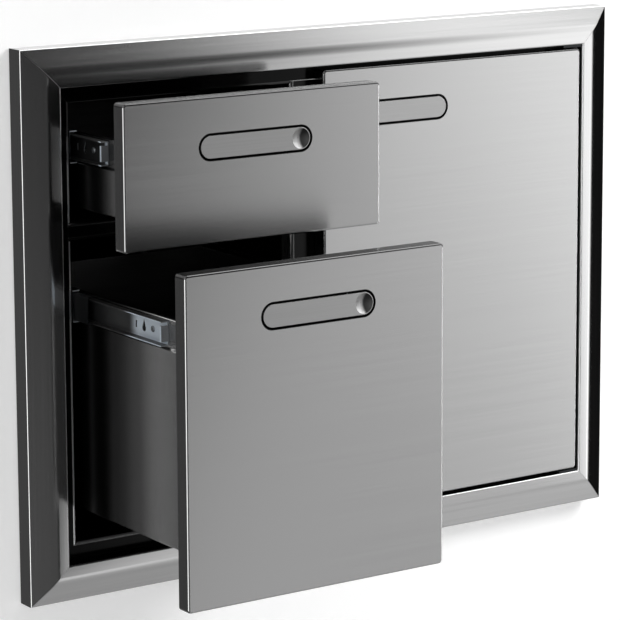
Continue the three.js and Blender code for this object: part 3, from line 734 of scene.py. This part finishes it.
# A dark strip for the ball cages, also the painted shade of the door's pivot plates
cage_and_plate_shade_metal = zinc("dark_cage_strip_and_plate_shade", shade=0.05, rough=0.36)
# Where a drawer member's painted shade begins and is full, from the member's front end
SLIDE_PAINTED_SHADE = {"upper": (0.004, 0.007), "lower": (0.058, 0.078)}
track_metals = {}
for drawer, ends in SLIDE_PAINTED_SHADE.items():
    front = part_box(f"{drawer}_left_slide_drawer_member")[0].y
    track_metals[drawer] = zinc(
        f"{drawer}_slide_zinc",
        shade=0.62,
        rough=0.4,
        painted_shade_from=tuple(front + end for end in ends),
        metallic=0.12,
        web_only=True,
        blue=0.22,
    )
wire_metal = zinc("spring_wire", shade=0.35, rough=0.3)
# Painted shade: the handle pins, seen through the slot's gap, are painted near black
pin_painted_shade_metal = zinc("pin_painted_shade_zinc", shade=0.02, rough=0.5)
# The screws' zinc is darker than the plate's: painted shade
screw_metal = zinc("screw_zinc", shade=0.25, rough=0.3)
black_plastic = moulded_plastic("black_plastic")


def material_of(name):
    owner = name.split("_")[0]
    if name.endswith("_skin"):
        return front_metals[owner]
    if owner == "frame" and name.endswith("_rail"):
        return rail_metal
    if name.endswith("_stile"):
        return stile_metal
    if name.endswith("_handle"):
        return handle_metals[owner]
    if name.endswith("_cup"):
        return cup_metal
    if name.endswith("_handle_pin"):
        return pin_painted_shade_metal
    if name.endswith("_spring"):
        return wire_metal
    if name.endswith("_bush") or name == "door_magnetic_catch":
        return black_plastic
    # The pivot plates are painted dark with the cages' strip: painted shade, as they sit in the
    # door's gap
    if name.endswith(("_ball_cage", "_pivot_plate")):
        return cage_and_plate_shade_metal
    if name.endswith("_cabinet_member"):
        return cabinet_member_metal
    if name.endswith("_drawer_box"):
        return box_metals[owner]
    if name.endswith("_drawer_member"):
        return track_metals[owner]
    if name.endswith(("_pin", "strike_plate")):
        return zinc_metal
    if name == "mullion_post":
        return mullion_metal
    if name == "drawer_cross_rail":
        return cross_rail_metal
    if owner == "housing":
        return housing_metal
    return satin_metal


for name, node in nodes.items():
    if not node.material_slots:
        node.data.materials.append(material_of(name))
    for slot in node.material_slots:
        slot.material = material_of(name)

# Bent sheet is shown by the same form with its bends shaded round: the faces are those of the
# node, joined along their edges, and a flat face keeps its own normal up to where a bend begins.
# Faces that meet at a corner less than 33 degrees apart are shaded as one bend, and neighbours
# less than 0.6 degrees apart are one flat face.
BEND_COSINE = math.cos(math.radians(33))
FLAT_COSINE = 0.99995
WELD_DISTANCE = 0.000002


def flat_regions(made):
    """The number of each face's flat region, and the areas of the regions."""
    region = {}
    areas = []
    for face in made.faces:
        if face.index in region:
            continue
        waiting = [face]
        region[face.index] = len(areas)
        area = 0.0
        while waiting:
            held = waiting.pop()
            area += held.calc_area()
            for edge in held.edges:
                for other in edge.link_faces:
                    same = other.normal.dot(face.normal) > FLAT_COSINE
                    if other.index not in region and same:
                        region[other.index] = len(areas)
                        waiting.append(other)
        areas.append(area)
    return region, areas


def rounded_normal(face, loop, region, areas):
    """A corner's normal: the flat regions that meet there in a bend, each by its area."""
    total = Vector()
    used = set()
    for other in loop.vert.link_faces:
        group = region[other.index]
        if group not in used and other.normal.dot(face.normal) > BEND_COSINE:
            used.add(group)
            total += other.normal * areas[group]
    return total.normalized()


def rounded(name):
    made = bmesh.new()
    made.from_mesh(nodes[name].data)
    bmesh.ops.remove_doubles(made, verts=made.verts, dist=WELD_DISTANCE)
    made.normal_update()
    made.faces.ensure_lookup_table()
    region, areas = flat_regions(made)
    normals = [
        rounded_normal(face, loop, region, areas) for face in made.faces for loop in face.loops
    ]
    mesh = mesh_of(f"{name}_rounded", made, material_of(name))
    mesh.polygons.foreach_set("use_smooth", [True] * len(mesh.polygons))
    for attribute in ("custom_normal", "sharp_face", "sharp_edge"):
        if attribute in mesh.attributes:
            mesh.attributes.remove(mesh.attributes[attribute])
    mesh.normals_split_custom_set(normals)
    piece = add_object(f"{name}_rounded", mesh)
    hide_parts(name)
    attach(piece, body_of[name])


for name in nodes:
    divider = name in ("mullion_post", "drawer_cross_rail")
    bent = name.endswith(("_skin", "_handle", "_drawer_member"))
    if name.startswith("frame_") or divider or bent:
        rounded(name)


def wound(name):
    """A torsion spring, shown by a fixed copy of its node that is not made to wind. The real
    spring winds with its handle: one leg follows the handle, the other the front.
    """
    piece = add_object(f"{name}_wound", nodes[name].data.copy())
    piece.data.name = f"{name}_wound"
    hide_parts(name)
    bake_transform(piece)


for name in nodes:
    if name.endswith("_spring"):
        wound(name)

# Small fasteners, made in mesh code and joined for each body. A profile gives the rings of a
# turned head from its foot up, as shares of its radius and height. Sizes are in metres.
SCREW_PROFILE = ((1.0, 0.0), (1.0, 0.3), (0.93, 0.62), (0.8, 0.86), (0.62, 1.0))
RIVET_PROFILE = ((1.0, 0.0), (0.97, 0.35), (0.8, 0.8), (0.5, 1.0), (0.38, 0.98), (0.34, 0.6))
BUMPER_PROFILE = ((1.0, 0.0), (1.0, 0.55), (0.94, 0.9), (0.84, 1.0))
HEAD_SIDES = 24
RIVET_SIDES = 20
# Shares of a screw's radius and height: the cross recess's reach, half width, foot and taper
CROSS_REACH = 0.5
CROSS_HALF = 0.12
CROSS_FOOT = 0.3
CROSS_TAPER = 0.7


def turned(made, place, out, size, profile, sides):
    """The rings of a turned head on an axis that points out of the sheet, closed at its foot."""
    radius, height = size
    side = out.orthogonal().normalized()
    other = out.cross(side)
    angles = [2 * math.pi * step / sides for step in range(sides)]
    spokes = [side * math.cos(angle) + other * math.sin(angle) for angle in angles]
    rings = [
        [made.verts.new(place + out * (height * up) + spoke * (radius * wide)) for spoke in spokes]
        for wide, up in profile
    ]
    for low, high in zip(rings, rings[1:]):
        for step in range(sides):
            after = (step + 1) % sides
            made.faces.new((low[step], low[after], high[after], high[step]))
    made.faces.new(list(reversed(rings[0])))
    return side, other, rings[-1]


def screw_head(made, place, out, size):
    side, other, rim = turned(made, place, out, size, SCREW_PROFILE, HEAD_SIDES)
    radius, height = size
    reach, half = radius * CROSS_REACH, radius * CROSS_HALF
    arms = (side, other, -side, -other)
    outline = []
    for ahead, across in zip(arms, arms[1:] + arms[:1]):
        tip = ahead * reach
        outline += [tip - across * half, tip + across * half, (ahead + across) * half]
    count = len(outline)
    top = [made.verts.new(place + out * height + corner) for corner in outline]
    foot = [
        made.verts.new(place + out * height * CROSS_FOOT + corner * CROSS_TAPER)
        for corner in outline
    ]
    edges = [made.edges.new((top[step], top[(step + 1) % count])) for step in range(count)]
    for step, start in enumerate(rim):
        edges.append(made.edges.get((start, rim[(step + 1) % HEAD_SIDES])))
    bmesh.ops.triangle_fill(made, edges=edges, use_beauty=True)
    for step in range(count):
        after = (step + 1) % count
        made.faces.new((top[step], foot[step], foot[after], top[after]))
    made.faces.new(foot)


def rivet_head(made, place, out, size):
    made.faces.new(turned(made, place, out, size, RIVET_PROFILE, RIVET_SIDES)[2])


def bumper(made, place, out, size):
    made.faces.new(turned(made, place, out, size, BUMPER_PROFILE, HEAD_SIDES)[2])


def on_sheet(name, start, way):
    """Where a line from start first meets a node, and the way back out of its face."""
    mesh = nodes[name].data
    tree = BVHTree.FromPolygons([v.co for v in mesh.vertices], [p.vertices for p in mesh.polygons])
    place = tree.ray_cast(Vector(start), Vector(way))[0]
    return place, -Vector(way)


def fasteners(name, body, kind, size, spots):
    slot, material, make = kind
    made = bmesh.new()
    for place, out in spots:
        make(made, place, out, size)
    bmesh.ops.recalc_face_normals(made, faces=made.faces)
    piece = add_object(name, mesh_of(name, made, material))
    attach(piece, body)


# Kinds: material slot, look and head
SCREW = ("zinc_plated_steel", screw_metal, screw_head)
RIVET = ("satin_stainless", zinc_metal, rivet_head)
BUMPER = ("black_plastic", black_plastic, bumper)
# Radius and height
SLIDE_SCREW_SIZE = (0.0034, 0.0013)
FRONT_SCREW_SIZE = (0.0042, 0.0018)
PLATE_SCREW_SIZE = (0.0024, 0.0009)
RIVET_SIZE = (0.0033, 0.0011)
BUMPER_SIZE = (0.0035, 0.0007)
# The line that looks for a front's liner comes from behind, and starts this far off
FROM_BEHIND = (0, -1, 0)
BEHIND = 0.05
# A slide's line starts outside the slide, and looks beside the hole, where the web is whole
OUTSIDE_SLIDE = 0.16
BESIDE_HOLE = 0.0055
# A drawer member's holes, from its front and from its rear end
FRONT_HOLE = 0.029
REAR_HOLE = 0.04

# Other distances are in from the ends of the piece whose box is read
for drawer in ("upper", "lower"):
    body = f"{drawer}_drawer"
    # Screws through the holes of the slides' drawer members
    spots = []
    for side, way in (("left", (1, 0, 0)), ("right", (-1, 0, 0))):
        member = f"{drawer}_{side}_slide_drawer_member"
        low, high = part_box(member)
        height = (low.z + high.z) / 2
        start = BAY_MIDDLE.x - way[0] * OUTSIDE_SLIDE
        for y in (low.y + FRONT_HOLE, high.y - REAR_HOLE):
            web, out = on_sheet(member, (start, y + BESIDE_HOLE, height), way)
            spots.append((Vector((web.x, y, height)), out))
    fasteners(f"{drawer}_slide_screws", body, SCREW, SLIDE_SCREW_SIZE, spots)
    # Screws that hold the front, seen inside the box
    liner = f"{drawer}_drawer_front_liner"
    low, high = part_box(f"{drawer}_drawer_box")
    heights = [low.z + 0.018, high.z - 0.02]
    if drawer == "lower":
        heights.insert(1, sum(heights) / 2)
    spots = [
        on_sheet(liner, (x, low.y + BEHIND, z), FROM_BEHIND)
        for z in heights
        for x in (low.x + 0.03, high.x - 0.03)
    ]
    fasteners(f"{drawer}_front_screws", body, SCREW, FRONT_SCREW_SIZE, spots)
    # Bumpers on the front's back, where it meets the frame and the upright
    low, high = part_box(f"{drawer}_drawer_front_skin")
    spots = [
        on_sheet(liner, (x, high.y + BEHIND, z), FROM_BEHIND)
        for z in (low.z + 0.0095, high.z - 0.0095)
        for x in (low.x + 0.0075, high.x - 0.0125)
    ]
    fasteners(f"{drawer}_front_bumpers", body, BUMPER, BUMPER_SIZE, spots)

low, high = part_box("door_front_skin")
spots = [
    on_sheet("door_front_liner", (low.x + 0.011, BEHIND, z), FROM_BEHIND)
    for z in (low.z + 0.03, high.z - 0.03)
]
fasteners("door_bumpers", "door", BUMPER, BUMPER_SIZE, spots)

# Screws in the pivot plates, behind the bush, which turns over the plate's front half
spots = []
for end, way in (("top", 1), ("bottom", -1)):
    plate = f"door_{end}_pivot_plate"
    low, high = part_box(plate)
    level = (low.z if way > 0 else high.z) - way * 0.001
    for x in (low.x + 0.0045, high.x - 0.0045):
        spots.append(on_sheet(plate, (x, high.y - 0.0032, level), (0, 0, way)))
fasteners("pivot_plate_screws", "face_frame_and_housing", SCREW, PLATE_SCREW_SIZE, spots)


def spaced(low, high, margin, count):
    """Even places from low to high, a margin in from both."""
    return [low + margin + step * (high - low - 2 * margin) / (count - 1) for step in range(count)]


# Rivets along the laps where the housing's panels meet the frame: how far behind the panels'
# front edge they sit, and how far off the panels their lines start
LAP = 0.0062
OFF_PANEL = 0.02
spots = []
low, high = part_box("housing_left_panel")
for z in spaced(low.z, high.z, 0.04, 5):
    start = (low.x - OFF_PANEL, low.y + LAP, z)
    spots.append(on_sheet("housing_left_panel", start, (1, 0, 0)))
for panel, way in (("housing_top_panel", -1), ("housing_bottom_panel", 1)):
    low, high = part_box(panel)
    level = (high.z if way < 0 else low.z) - way * OFF_PANEL
    for x in spaced(low.x, high.x, 0.035, 4):
        spots.append(on_sheet(panel, (x, low.y + LAP, level), (0, 0, way)))
fasteners("housing_rivets", "face_frame_and_housing", RIVET, RIVET_SIZE, spots)
